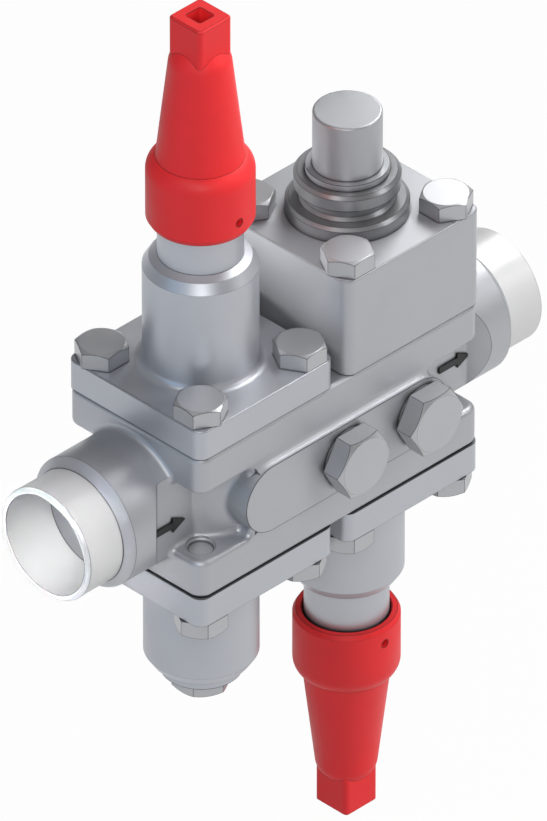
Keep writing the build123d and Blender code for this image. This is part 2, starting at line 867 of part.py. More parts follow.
def make_strainer_mesh():
    """The fine mesh sleeve inside the basket."""
    outer = strainer_radius - strainer_wall - mesh_gap
    bottom = strainer_top + strainer_ring_height + mesh_gap
    top = strainer_end - strainer_ring_height - mesh_gap
    return ring(outer, outer - mesh_wall, bottom, top)


def make_filter_spring():
    """The spring that holds the basket against the housing."""
    start = strainer_end + spring_wire_radius + spring_clearance
    end = cup_floor_height - spring_wire_radius - spring_clearance
    path = Pos(0, 0, start) * Helix((end - start) / spring_turns, end - start, spring_radius)
    section = Plane(origin=path @ 0, z_dir=path % 0) * Circle(spring_wire_radius)
    return sweep(section, path)


def make_drain_plug():
    """The hex drain plug in the cup's boss."""
    plug = Pos(0, 0, drain_face) * hex_head(drain_width, drain_head_height, hex_turn)
    thread_end = drain_face - drain_washer_height - drain_thread_length
    return plug + rod(drain_thread_radius - thread_clearance, thread_end, drain_face)


def make_drain_washer():
    """The washer under the drain plug."""
    inner = drain_thread_radius + gasket_clearance
    return ring(drain_washer_radius, inner, filter_boss_end, drain_face)


def make_control_cover():
    """The tall square cover of the control valve."""
    bore = turned([
        (0, spigot_end - cut_extra, 0),
        (spigot_inner_radius, spigot_end - cut_extra, 0),
        (spigot_inner_radius, flange_top, 0),
        (control_cavity_radius, flange_top, 0),
        (control_cavity_radius, control_cavity_top, 0),
        (stem_radius + slide_clearance + bush_wall + thread_clearance, control_cavity_top, 0),
        (stem_radius + slide_clearance + bush_wall + thread_clearance, bush_top, 0),
        (bearing_outer_radius + thread_clearance, bush_top, 0),
        (bearing_outer_radius + thread_clearance, adaptor_thread_bottom, 0),
        (adaptor_thread_radius, adaptor_thread_bottom, 0),
        (adaptor_thread_radius, control_cover_top - adaptor_seal_height, 0),
        (adaptor_thread_radius + adaptor_seal_width, control_cover_top - adaptor_seal_height, 0),
        (adaptor_thread_radius + adaptor_seal_width, control_cover_top + cut_extra, 0),
        (0, control_cover_top + cut_extra, 0),
    ])
    return cover_plate(control_cover_height) + cover_spigot() - bore


def make_adaptor():
    """The screwed-in adaptor that carries the magnet sleeve and takes the actuator."""
    nose_outer = bearing_outer_radius
    nose_bottom = bearing_top + seat_gap
    neck_foot = adaptor_ring_top + adaptor_edge_chamfer
    body = turned([
        (nose_outer - adaptor_nose_wall, nose_bottom, 0),
        (nose_outer, nose_bottom, 0),
        (nose_outer, adaptor_thread_bottom, 0),
        (adaptor_thread_radius - thread_clearance, adaptor_thread_bottom, 0),
        (adaptor_thread_radius - thread_clearance, control_cover_top, 0),
        (adaptor_ring_radius, control_cover_top, 0),
        (adaptor_ring_radius, adaptor_ring_top - adaptor_edge_chamfer, 0),
        (adaptor_ring_radius - adaptor_edge_chamfer, adaptor_ring_top, 0),
        (adaptor_neck_radius + adaptor_edge_chamfer, adaptor_ring_top, 0),
        (adaptor_neck_radius, neck_foot, 0),
        (adaptor_neck_radius, adaptor_collar_bottom, 0),
        (adaptor_collar_radius, adaptor_collar_bottom, 0),
        (adaptor_collar_radius, adaptor_collar_top - adaptor_edge_chamfer, 0),
        (adaptor_collar_radius - adaptor_edge_chamfer, adaptor_collar_top, 0),
        (sleeve_flange_radius + gasket_clearance, adaptor_collar_top, 0),
        (sleeve_flange_radius + gasket_clearance, sleeve_flange_bottom, 0),
        (adaptor_bore_radius, sleeve_flange_bottom, 0),
        (adaptor_bore_radius, adaptor_thread_bottom, 0),
        (nose_outer - adaptor_nose_wall, adaptor_thread_bottom, 0),
    ])
    return body


def make_adaptor_seal():
    """The ring that seals the adaptor in the cover's top recess."""
    outer = adaptor_thread_radius + adaptor_seal_width - gasket_clearance
    bottom = control_cover_top - adaptor_seal_height
    return ring(outer, adaptor_thread_radius + gasket_clearance, bottom, control_cover_top)


def make_sleeve():
    """The closed magnet sleeve with its foot flange."""
    inner = sleeve_radius - sleeve_wall
    return turned([
        (inner, sleeve_flange_bottom, 0),
        (sleeve_flange_radius, sleeve_flange_bottom, 0),
        (sleeve_flange_radius, sleeve_flange_top, 0),
        (sleeve_radius, sleeve_flange_top, 0),
        (sleeve_radius, sleeve_top, sleeve_edge_round),
        (0, sleeve_top, 0),
        (0, sleeve_top - sleeve_wall, 0),
        (inner, sleeve_top - sleeve_wall, 0),
    ])


def make_magnet():
    """The magnet ring that follows the actuator's magnets through the sleeve."""
    outer = sleeve_radius - sleeve_wall - magnet_gap
    return ring(outer, magnet_inner_radius, magnet_bottom, magnet_bottom + magnet_height)


def make_stem():
    """The threaded stem with the collar and spigot that carry the magnet."""
    collar_bottom = magnet_bottom - rotor_collar_height
    top = magnet_bottom + magnet_height
    stem = rod(stem_radius, stem_bottom, collar_bottom)
    stem += rod(rotor_collar_radius, collar_bottom, magnet_bottom)
    return stem + rod(magnet_inner_radius - thread_clearance, magnet_bottom, top)


def make_bush():
    """The bush that guides the stem under the bearing."""
    inner = stem_radius + slide_clearance
    return ring(inner + bush_wall, inner, control_cavity_top, bush_top)


def bearing_pitch():
    """Radius of the ball circle."""
    return (bearing_outer_radius + stem_radius) / 2


def bearing_groove():
    """The round groove that both races share."""
    middle = bush_top + bearing_width / 2
    return Pos(0, 0, middle) * Torus(bearing_pitch(), bearing_ball_radius + thread_clearance)


def make_bearing_outer():
    """The bearing's outer race."""
    inner = bearing_pitch() + bearing_race_gap / 2
    return ring(bearing_outer_radius, inner, bush_top, bearing_top) - bearing_groove()


def make_bearing_inner():
    """The bearing's inner race, on the stem."""
    outer = bearing_pitch() - bearing_race_gap / 2
    return ring(outer, stem_radius + thread_clearance, bush_top, bearing_top) - bearing_groove()


def make_balls():
    """The balls between the races."""
    middle = bush_top + bearing_width / 2
    ball = Pos(bearing_pitch(), 0, middle) * Sphere(bearing_ball_radius)
    return [Rot(0, 0, index * 360 / ball_count) * ball for index in range(ball_count)]


def make_insert():
    """The caged seat insert of the control valve."""
    foot = ring(insert_foot_radius, port_radius, insert_bottom, insert_seat)
    outer = chamber_radius - spigot_clearance
    guide = ring(outer, control_cone_radius + slide_clearance, insert_ring_bottom, spigot_end)
    insert = foot + guide
    shell = ring(insert_foot_radius, control_cone_radius + loose_clearance, insert_seat, insert_ring_bottom)
    length = 2 * insert_foot_radius
    middle = (insert_seat + insert_ring_bottom) / 2
    for index in range(insert_post_count // 2):
        turn = insert_post_turn + index * 360 / insert_post_count
        bar = Pos(0, 0, middle) * Rot(0, 0, turn) * Box(length, insert_post_width, insert_window_height)
        insert += shell & bar
    return insert


def make_insert_seal():
    """The flat seal between the insert and the housing web."""
    return ring(insert_seal_radius, port_radius + seat_gap, web_half, insert_bottom)


def make_control_cone():
    """The control cone: a guided piston with a tapered nose and a threaded bore."""
    body = turned([
        (0, control_seal_bottom - control_nose_length, 0),
        (control_nose_tip_radius, control_seal_bottom - control_nose_length, 0),
        (control_nose_radius, control_seal_bottom, 0),
        (control_nose_radius, control_cone_bottom, 0),
        (control_cone_radius, control_cone_bottom, 0),
        (control_cone_radius, control_cone_top, 0),
        (0, control_cone_top, 0),
    ])
    floor = control_cone_bottom + control_cone_floor
    return body - rod(stem_radius + slide_clearance, floor, control_cone_top + cut_extra)


def make_control_seal():
    """The soft ring under the control cone."""
    outer = control_cone_radius - gasket_clearance
    return ring(outer, control_nose_radius + thread_clearance, control_seal_bottom, control_cone_bottom)


def export(name, pieces):
    """Writes one node, a single solid or a group of separate ones."""
    solids = pieces if isinstance(pieces, list) else [pieces]
    export_step(solids[0] if len(solids) == 1 else Compound(solids), f"parts/{name}.step")


def export_stop_valve(prefix, place_x, upward):
    """Writes all the nodes of one stop valve."""
    nodes = {
        "bonnet": make_bonnet(),
        "gasket": cover_gasket(),
        "bolts": cover_bolts(stop_cover_top, short_bolt_length, False),
        "packing": make_packing(),
        "gland_nut": make_gland(),
        "spindle": make_spindle(),
        "cone": make_cone(),
        "cone_seal": make_cone_seal(),
        "spindle_retainer": make_retainer(),
        "seal_cap": make_cap(),
        "cap_gasket": make_cap_gasket(),
    }
    for name, pieces in nodes.items():
        export_module_node(f"{prefix}_{name}", pieces, place_x, upward)


def export_module_node(name, pieces, place_x, upward):
    """Writes one node of a module in its place."""
    solids = pieces if isinstance(pieces, list) else [pieces]
    export(name, [in_place(solid, place_x, upward) for solid in solids])


def export_filter():
    """Writes all the nodes of the filter module."""
    nodes = {
        "cover": make_filter_cover(),
        "gasket": cover_gasket(),
        "bolts": cover_bolts(filter_cover_top, short_bolt_length, False),
        "strainer": make_strainer_frame(),
        "strainer_mesh": make_strainer_mesh(),
        "spring": make_filter_spring(),
        "drain_plug": make_drain_plug(),
        "drain_washer": make_drain_washer(),
    }
    for name, pieces in nodes.items():
        export_module_node(f"filter_{name}", pieces, inlet_x, False)


def export_control_valve():
    """Writes all the nodes of the control valve module."""
    nodes = {
        "cover": make_control_cover(),
        "gasket": cover_gasket(),
        "bolts": cover_bolts(control_cover_top, tall_bolt_length, True),
        "adaptor": make_adaptor(),
        "adaptor_seal": make_adaptor_seal(),
        "magnet_sleeve": make_sleeve(),
        "magnet": make_magnet(),
        "stem": make_stem(),
        "stem_bush": make_bush(),
        "bearing_outer_race": make_bearing_outer(),
        "bearing_inner_race": make_bearing_inner(),
        "bearing_balls": make_balls(),
        "seat_insert": make_insert(),
        "insert_seal": make_insert_seal(),
        "cone": make_control_cone(),
        "cone_seal": make_control_seal(),
    }
    for name, pieces in nodes.items():
        export_module_node(f"control_{name}", pieces, outlet_x, True)


def export_station():
    """Writes every node of the station."""
    export("housing", make_housing())
    export("inlet_stub", make_stub())
    export("outlet_stub", turned_round(make_stub()))
    export("middle_side_plug", make_side_plug(mid_x))
    export("middle_plug_washer", make_side_washer(mid_x))
    export("outlet_side_plug", make_side_plug(outlet_x))
    export("outlet_plug_washer", make_side_washer(outlet_x))
    export_stop_valve("inlet_stop", inlet_x, True)
    export_stop_valve("outlet_stop", outlet_x, False)
    export_filter()
    export_control_valve()


export_station()
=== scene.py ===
"""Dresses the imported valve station: finishes, fine pieces, studio light and camera.

The CAD nodes keep their shapes and places. Each sub-assembly is a class that holds its sizes, names its
nodes and gives them their finishes. Sizes are in metres unless a name says otherwise.
"""

import logging
from dataclasses import dataclass, field
from enum import Enum
from math import radians

import bmesh
import bpy
from mathutils import Matrix, Vector


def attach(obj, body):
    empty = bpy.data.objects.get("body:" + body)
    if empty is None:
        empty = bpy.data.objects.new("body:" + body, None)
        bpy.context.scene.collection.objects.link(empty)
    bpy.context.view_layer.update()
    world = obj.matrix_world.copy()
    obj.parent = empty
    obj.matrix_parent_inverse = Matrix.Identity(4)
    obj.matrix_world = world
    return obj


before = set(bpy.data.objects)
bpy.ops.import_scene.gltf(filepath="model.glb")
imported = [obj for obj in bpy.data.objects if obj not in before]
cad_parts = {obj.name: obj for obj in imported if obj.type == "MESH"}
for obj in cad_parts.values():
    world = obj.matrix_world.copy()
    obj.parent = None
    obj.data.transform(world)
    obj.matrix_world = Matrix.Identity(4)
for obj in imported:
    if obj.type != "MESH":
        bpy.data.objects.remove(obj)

log = logging.getLogger("valve_station")

MILLIMETRE = 0.001
ROOT = "root"
INLET_AXIS = 0.08505
OUTLET_AXIS = 0.16555
LOW_TONE = 0.3
HIGH_TONE = 0.7
CAST_GRAIN = 1400.0
SPRAY_GRAIN = 900.0
GRAIN_HEIGHT = 0.04 * MILLIMETRE
# Near-black laid over sharp edges as lines, and into corners and joints as painted shade.
LINE_AND_PAINTED_SHADE_COLOUR = (0.012, 0.012, 0.013, 1.0)
MIDDLE = (0.12, 0.0, 0.0)

# Where a Mix node keeps its sockets, several of which have the same name
MIX_SHARE = 0
MIX_NUMBER_A = 2
MIX_NUMBER_B = 3
MIX_NUMBER_OUT = 0
MIX_COLOUR_A = 6
MIX_COLOUR_B = 7
MIX_COLOUR_OUT = 2


class Skin(Enum):
    """The kinds of surface that the station's pieces have."""

    CAST = "cast"
    TURNED = "turned"
    SPRAYED = "sprayed"
    PLAIN = "plain"


class Axis(Enum):
    """The line that a turned piece was turned about."""

    UPRIGHT = 0.0
    PIPE_LINE = 1.0


@dataclass(frozen=True)
class Finish:
    """One finish: its colour, shine, grain, edge lines and painted shade in corners."""

    name: str
    colour: tuple[float, float, float]
    skin: Skin
    metallic: float = 0.0
    roughness: float = 0.4
    roughness_spread: float = 0.08
    grain_depth: float = 0.3
    tone_spread: float = 0.05
    specular: float = 0.5
    edge_width: float = 0.7 * MILLIMETRE
    edge_dark: float = 0.85
    # How far the painted shade in corners reaches, and how dark it gets.
    painted_shade_reach: float = 1.6 * MILLIMETRE
    painted_shade_dark: float = 0.9


STEEL_TONE = (0.445, 0.455, 0.48)

HOUSING = Finish("satin_cast_housing", STEEL_TONE, Skin.CAST, metallic=0.65, roughness=0.45)
COVER = Finish("satin_cast_cover", STEEL_TONE, Skin.CAST, metallic=0.5, roughness=0.45)
BONNET = Finish("turned_bonnet_steel", (0.485, 0.50, 0.535), Skin.TURNED, metallic=0.6, roughness=0.42)
STUB = Finish("bright_pipe_steel", (0.66, 0.66, 0.66), Skin.TURNED, metallic=0.15, roughness=0.42)
BOLT = Finish("plated_bolt_steel", (0.46, 0.465, 0.48), Skin.PLAIN, metallic=0.65, roughness=0.36,
              grain_depth=0.15)
CAP = Finish("red_cap_coating", (0.86, 0.030, 0.034), Skin.SPRAYED, roughness=0.5, specular=0.3)
SLEEVE = Finish("bright_sleeve_steel", (0.385, 0.395, 0.415), Skin.TURNED, metallic=0.6, roughness=0.36)
# The adaptor's grooves take deep, wide painted shade, so that they read nearly black.
ADAPTOR = Finish("turned_adaptor_steel", (0.24, 0.243, 0.252), Skin.TURNED, metallic=0.6, roughness=0.38,
                 edge_width=0.9 * MILLIMETRE, painted_shade_reach=4.0 * MILLIMETRE, painted_shade_dark=0.97)
SPINDLE = Finish("ground_spindle_steel", (0.55, 0.56, 0.58), Skin.TURNED, metallic=1.0, roughness=0.25)
SEAL = Finish("white_seal_polymer", (0.75, 0.75, 0.72), Skin.PLAIN, roughness=0.5)
GASKET = Finish("fibre_gasket", (0.03, 0.032, 0.031), Skin.PLAIN, roughness=0.8)
GRAPHITE = Finish("graphite_packing", (0.04, 0.04, 0.045), Skin.PLAIN, metallic=0.2, roughness=0.5)
BRASS = Finish("guide_brass", (0.62, 0.45, 0.18), Skin.TURNED, metallic=1.0, roughness=0.3)
MAGNET = Finish("dark_magnet", (0.05, 0.05, 0.055), Skin.PLAIN, metallic=0.3, roughness=0.5)
WASHER = Finish("plated_washer", (0.22, 0.22, 0.225), Skin.TURNED, metallic=0.6, roughness=0.4)
STRAINER = Finish("strainer_steel", (0.6, 0.6, 0.61), Skin.PLAIN, metallic=1.0, roughness=0.35)
ARROW_PAINT = Finish("black_arrow_paint", (0.012, 0.012, 0.013), Skin.SPRAYED, roughness=0.5,
                     edge_dark=0.2, painted_shade_dark=0.2)


class NodeBench:
    """Adds and links shader nodes in one tree."""

    def __init__(self, tree: bpy.types.NodeTree) -> None:
        """Keeps the tree that the nodes go into.

        Args:
            tree: a material's, a world's or a group's node tree.
        """
        self.tree = tree

    def add(self, kind: str, **values: object) -> bpy.types.Node:
        """Adds a node and sets its properties and inputs.

        Args:
            kind: the node's type name.
            values: properties by name, and inputs by name with spaces as underscores.

        Returns:
            The new node.
        """
        node = self.tree.nodes.new(kind)
        for name, value in values.items():
            if hasattr(node, name):
                setattr(node, name, value)
            else:
                node.inputs[name.replace("_", " ")].default_value = value
        return node

    def link(self, source: bpy.types.NodeSocket, target: bpy.types.NodeSocket) -> None:
        """Links an output to an input.

        Args:
            source: the output.
            target: the input.
        """
        self.tree.links.new(source, target)

    def reckon(self, operation: str, first: bpy.types.NodeSocket,
               second: bpy.types.NodeSocket | float) -> bpy.types.NodeSocket:
        """Adds a Math node.

        Args:
            operation: the node's operation.
            first: the first value's socket.
            second: the second value, a socket or a number.

        Returns:
            The node's output.
        """
        node = self.add("ShaderNodeMath", operation=operation)
        self.link(first, node.inputs[0])
        if isinstance(second, float):
            node.inputs[1].default_value = second
        else:
            self.link(second, node.inputs[1])
        return node.outputs[0]

    def stretch(self, value: bpy.types.NodeSocket, low: float, high: float,
                out_low: float, out_high: float) -> bpy.types.NodeSocket:
        """Maps one range of values to another, clamped.

        Args:
            value: the socket to map.
            low: the value that maps to out_low.
            high: the value that maps to out_high.
            out_low: the first result.
            out_high: the last result.

        Returns:
            The mapped value's socket.
        """
        node = self.add("ShaderNodeMapRange", From_Min=low, From_Max=high, To_Min=out_low, To_Max=out_high)
        self.link(value, node.inputs["Value"])
        return node.outputs["Result"]

    def radius(self, first: bpy.types.NodeSocket, second: bpy.types.NodeSocket) -> bpy.types.NodeSocket:
        """Gives the distance from an axis.

        Args:
            first: one coordinate across the axis.
            second: the other coordinate across the axis.

        Returns:
            The distance's socket.
        """
        across = self.add("ShaderNodeCombineXYZ")
        self.link(first, across.inputs[0])
        self.link(second, across.inputs[1])
        reach = self.add("ShaderNodeVectorMath", operation="LENGTH")
        self.link(across.outputs[0], reach.inputs[0])
        return reach.outputs["Value"]


class GroupBench(NodeBench):
    """A bench on a new shader group, with its input and output nodes."""

    def __init__(self, name: str, inputs: dict[str, float], outputs: list[str]) -> None:
        """Makes the group and its sockets.

        Args:
            name: the group's name.
            inputs: each input's name and default value.
            outputs: each output's name.
        """
        super().__init__(bpy.data.node_groups.new(name, "ShaderNodeTree"))
        for socket, value in inputs.items():
            made = self.tree.interface.new_socket(socket, in_out="INPUT", socket_type="NodeSocketFloat")
            made.default_value = value
        for socket in outputs:
            self.tree.interface.new_socket(socket, in_out="OUTPUT", socket_type="NodeSocketFloat")
        self.source = self.add("NodeGroupInput")
        self.target = self.add("NodeGroupOutput")

    def give(self, value: bpy.types.NodeSocket, output: str) -> None:
        """Links a value to one of the group's outputs.

        Args:
            value: the socket to give out.
            output: the output's name.
        """
        self.link(value, self.target.inputs[output])


class ShaderShelf:
    """The shader groups that several finishes share, each built once."""

    samples = 8
    cast_patch_scale = 38.0
    turned_patch_scale = 30.0
    turning_pitch = 2600.0

    def __init__(self) -> None:
        """Builds the groups."""
        self.edge_line = self.make_edge_line()
        self.corner_painted_shade = self.make_corner_painted_shade()
        self.cast_grain = self.make_cast_grain()
        self.turning_marks = self.make_turning_marks()

    def make_edge_line(self) -> bpy.types.NodeTree:
        """The dark line along a sharp edge.

        Returns:
            The group, with input Width and output Line.
        """
        flat_turn = 0.99
        sharp_turn = 0.93
        bench = GroupBench("edge line", {"Width": 0.5 * MILLIMETRE}, ["Line"])
        bevel = bench.add("ShaderNodeBevel", samples=self.samples)
        bench.link(bench.source.outputs["Width"], bevel.inputs["Radius"])
        plain = bench.add("ShaderNodeNewGeometry")
        turn = bench.add("ShaderNodeVectorMath", operation="DOT_PRODUCT")
        bench.link(bevel.outputs[0], turn.inputs[0])
        bench.link(plain.outputs["Normal"], turn.inputs[1])
        bench.give(bench.stretch(turn.outputs["Value"], flat_turn, sharp_turn, 0.0, 1.0), "Line")
        return bench.tree

    def make_corner_painted_shade(self) -> bpy.types.NodeTree:
        """Painted shade: darkens the colour where two surfaces meet and shade falls, read from ambient
        occlusion.

        Returns:
            The group, with input Reach and output Soil.
        """
        deep_corner = 0.35
        open_face = 0.8
        bench = GroupBench("corner soil", {"Reach": 1.6 * MILLIMETRE}, ["Painted Shade"])
        near = bench.add("ShaderNodeAmbientOcclusion", samples=self.samples)
        bench.link(bench.source.outputs["Reach"], near.inputs["Distance"])
        bench.give(bench.stretch(near.outputs["AO"], deep_corner, open_face, 1.0, 0.0), "Painted Shade")
        return bench.tree

    def make_cast_grain(self) -> bpy.types.NodeTree:
        """The blasted skin of a casting: fine pits, and slow changes of tone.

        Returns:
            The group, with input Scale and outputs Height and Tone.
        """
        bench = GroupBench("cast grain", {"Scale": CAST_GRAIN}, ["Height", "Tone"])
        place = bench.add("ShaderNodeTexCoord")
        fine = bench.add("ShaderNodeTexNoise", Detail=4.0, Roughness=0.6)
        slow = bench.add("ShaderNodeTexNoise", Scale=self.cast_patch_scale, Detail=3.0)
        for noise in (fine, slow):
            bench.link(place.outputs["Object"], noise.inputs["Vector"])
        bench.link(bench.source.outputs["Scale"], fine.inputs["Scale"])
        bench.give(fine.outputs["Fac"], "Height")
        bench.give(slow.outputs["Fac"], "Tone")
        return bench.tree

    def make_turning_marks(self) -> bpy.types.NodeTree:
        """The fine rings that a lathe leaves, read along the piece's axis and radius.

        Returns:
            The group, with inputs Pitch, Axis X and Along X, and outputs Height and Tone.
        """
        inputs = {"Pitch": self.turning_pitch, "Axis X": 0.0, "Along X": 0.0}
        bench = GroupBench("turning marks", inputs, ["Height", "Tone"])
        place = bench.add("ShaderNodeTexCoord")
        parts = bench.add("ShaderNodeSeparateXYZ")
        bench.link(place.outputs["Object"], parts.inputs[0])
        x, y, z = (parts.outputs[name] for name in "XYZ")
        off_axis = bench.reckon("SUBTRACT", x, bench.source.outputs["Axis X"])
        upright = bench.reckon("ADD", bench.radius(off_axis, y), z)
        lying = bench.reckon("ADD", bench.radius(y, z), x)
        choice = bench.add("ShaderNodeMix")
        bench.link(bench.source.outputs["Along X"], choice.inputs[MIX_SHARE])
        bench.link(upright, choice.inputs[MIX_NUMBER_A])
        bench.link(lying, choice.inputs[MIX_NUMBER_B])
        marks = bench.add("ShaderNodeTexNoise", noise_dimensions="1D", Scale=1.0, Detail=2.0)
        spread = bench.reckon("MULTIPLY", choice.outputs[MIX_NUMBER_OUT], bench.source.outputs["Pitch"])
        bench.link(spread, marks.inputs["W"])
        slow = bench.add("ShaderNodeTexNoise", Scale=self.turned_patch_scale, Detail=2.0)
        bench.link(place.outputs["Object"], slow.inputs["Vector"])
        bench.give(marks.outputs["Fac"], "Height")
        bench.give(slow.outputs["Fac"], "Tone")
        return bench.tree


class PaintShop:
    """Makes each finish's material and puts it on the pieces."""

    def __init__(self) -> None:
        """Starts with an empty rack."""
        self.shelf = ShaderShelf()
        self.rack: dict[tuple[str, float, Axis], bpy.types.Material] = {}

    def material(self, finish: Finish, axis_x: float = 0.0,
                 axis: Axis = Axis.UPRIGHT) -> bpy.types.Material:
        """Gives a finish's material, made once for each axis.

        Args:
            finish: the finish.
            axis_x: X of the piece's upright axis, for turning marks.
            axis: the line that the piece was turned about.

        Returns:
            The material.
        """
        key = (finish.name, round(axis_x, 5), axis)
        if key not in self.rack:
            self.rack[key] = self.mix(finish, axis_x, axis)
        return self.rack[key]

    def mix(self, finish: Finish, axis_x: float, axis: Axis) -> bpy.types.Material:
        """Builds a material's node tree.

        Args:
            finish: the finish.
            axis_x: X of the piece's upright axis.
            axis: the line that the piece was turned about.

        Returns:
            The new material.
        """
        made = bpy.data.materials.new(finish.name)
        made.use_nodes = True
        bench = NodeBench(made.node_tree)
        shader = made.node_tree.nodes["Principled BSDF"]
        shader.inputs["Metallic"].default_value = finish.metallic
        shader.inputs["Specular IOR Level"].default_value = finish.specular
        grain = self.grain(bench, finish, axis_x, axis)
        self.colour(bench, finish, grain, shader)
        low = finish.roughness - finish.roughness_spread
        high = finish.roughness + finish.roughness_spread
        rough = bench.stretch(grain.outputs["Tone"], LOW_TONE, HIGH_TONE, low, high)
        bench.link(rough, shader.inputs["Roughness"])
        bump = bench.add("ShaderNodeBump", Strength=finish.grain_depth, Distance=GRAIN_HEIGHT)
        bench.link(grain.outputs["Height"], bump.inputs["Height"])
        bench.link(bump.outputs[0], shader.inputs["Normal"])
        return made

    def grain(self, bench: NodeBench, finish: Finish, axis_x: float, axis: Axis) -> bpy.types.Node:
        """Places the grain group that suits the finish's skin.

        Args:
            bench: the material's bench.
            finish: the finish.
            axis_x: X of the piece's upright axis.
            axis: the line that the piece was turned about.

        Returns:
            The group's node, with outputs Height and Tone.
        """
        grain = bench.add("ShaderNodeGroup")
        if finish.skin is Skin.TURNED:
            grain.node_tree = self.shelf.turning_marks
            grain.inputs["Axis X"].default_value = axis_x
            grain.inputs["Along X"].default_value = axis.value
        else:
            grain.node_tree = self.shelf.cast_grain
            grain.inputs["Scale"].default_value = CAST_GRAIN if finish.skin is Skin.CAST else SPRAY_GRAIN
        return grain

    def colour(self, bench: NodeBench, finish: Finish, grain: bpy.types.Node,
               shader: bpy.types.Node) -> None:
        """Feeds the base colour: the tone, then edge lines and painted shade in corners and joints over it.

        Args:
            bench: the material's bench.
            finish: the finish.
            grain: the grain group's node.
            shader: the Principled shader.
        """
        spread = finish.tone_spread
        tone = bench.stretch(grain.outputs["Tone"], LOW_TONE, HIGH_TONE, 1 - spread, 1 + spread)
        shade = bench.add("ShaderNodeVectorMath", operation="SCALE")
        shade.inputs[0].default_value = finish.colour
        bench.link(tone, shade.inputs["Scale"])
        line = bench.add("ShaderNodeGroup")
        line.node_tree = self.shelf.edge_line
        line.inputs["Width"].default_value = finish.edge_width
        # Painted shade in corners and joints, from ambient occlusion, goes over the colour together with the
        # edge lines.
        painted_shade = bench.add("ShaderNodeGroup")
        painted_shade.node_tree = self.shelf.corner_painted_shade
        painted_shade.inputs["Reach"].default_value = finish.painted_shade_reach
        dark_line = bench.reckon("MULTIPLY", line.outputs["Line"], finish.edge_dark)
        dark_painted_shade = bench.reckon("MULTIPLY", painted_shade.outputs["Painted Shade"], finish.painted_shade_dark)
        over = bench.add("ShaderNodeMix", data_type="RGBA")
        over.inputs[MIX_COLOUR_B].default_value = LINE_AND_PAINTED_SHADE_COLOUR
        bench.link(bench.reckon("MAXIMUM", dark_line, dark_painted_shade), over.inputs[MIX_SHARE])
        bench.link(shade.outputs[0], over.inputs[MIX_COLOUR_A])
        bench.link(over.outputs[MIX_COLOUR_OUT], shader.inputs["Base Color"])

    def coat(self, name: str, finish: Finish, axis_x: float = 0.0, axis: Axis = Axis.UPRIGHT) -> None:
        """Puts a finish on one CAD node and logs it.

        Args:
            name: the node's name.
            finish: the finish.
            axis_x: X of the piece's upright axis.
            axis: the line that the piece was turned about.
        """
        made = self.material(finish, axis_x, axis)
        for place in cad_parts[name].material_slots:
            place.material = made
        log.info("%s has %s", name, finish.name)

    def coat_set(self, prefix: str, coats: dict[str, Finish], axis_x: float) -> None:
        """Puts a finish on each node of a module.

        Args:
            prefix: what the module's node names start with.
            coats: the finish for each node, by the rest of its name.
            axis_x: X of the module's upright axis.
        """
        for part, finish in coats.items():
            self.coat(f"{prefix}_{part}", finish, axis_x)


def make_piece(name: str, shape: bmesh.types.BMesh, finish: bpy.types.Material, body: str) -> bpy.types.Object:
    """Turns a finished bmesh into a piece that rides on a body.

    Args:
        name: the piece's name.
        shape: the bmesh, with its place in its vertices. It is freed.
        finish: the piece's material.
        body: the body that carries it.

    Returns:
        The new object.
    """
    bmesh.ops.recalc_face_normals(shape, faces=shape.faces)
    mesh = bpy.data.meshes.new(name)
    shape.to_mesh(mesh)
    shape.free()
    mesh.materials.append(finish)
    piece = bpy.data.objects.new(name, mesh)
    bpy.context.scene.collection.objects.link(piece)
    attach(piece, body)
    log.info("%s rides on %s", name, body)
    return piece


@dataclass
class Housing:
    """The cast housing with its pipe stubs and the painted flow arrows on its necks."""

    arrow_starts: tuple[float, float] = (0.0386, 0.1955)
    arrow_height: float = -0.0045
    arrow_face: float = -0.0213
    arrow_length: float = 0.0165
    shaft_length: float = 0.0100
    shaft_width: float = 0.0026
    head_width: float = 0.0064
    paint_film: float = 0.00012
    paint_depth: float = 0.0006

    def build(self, paint: PaintShop) -> None:
        """Builds the paint on each raised arrow.

        Args:
            paint: the paint shop.
        """
        for number, start in enumerate(self.arrow_starts, 1):
            make_piece(f"flow_arrow_paint_{number}", self.arrow(start), paint.material(ARROW_PAINT), ROOT)

    def arrow(self, start: float) -> bmesh.types.BMesh:
        """The film of paint over one raised arrow, pulled from the outline of its shaft and head.

        Args:
            start: X of the arrow's tail.

        Returns:
            The film as a closed bmesh.
        """
        film = self.paint_film
        tail = start - film
        neck = start + self.shaft_length
        tip = start + self.arrow_length + 2 * film
        shaft = self.shaft_width / 2 + film
        head = self.head_width / 2 + 2 * film
        shape = bmesh.new()
        outline = [(tail, -shaft), (neck - film, -shaft), (neck - film, -head), (tip, 0.0),
                   (neck - film, head), (neck - film, shaft), (tail, shaft)]
        corners = [shape.verts.new((x, self.arrow_face + self.paint_depth, self.arrow_height + z))
                   for x, z in outline]
        face = shape.faces.new(corners)
        pulled = bmesh.ops.extrude_face_region(shape, geom=[face])
        moved = [item for item in pulled["geom"] if isinstance(item, bmesh.types.BMVert)]
        bmesh.ops.translate(shape, verts=moved, vec=(0.0, -self.paint_depth - film, 0.0))
        return shape

    def dress(self, paint: PaintShop) -> None:
        """Gives the housing and its stubs their finishes.

        Args:
            paint: the paint shop.
        """
        paint.coat("housing", HOUSING)
        paint.coat("inlet_stub", STUB, axis=Axis.PIPE_LINE)
        paint.coat("outlet_stub", STUB, axis=Axis.PIPE_LINE)


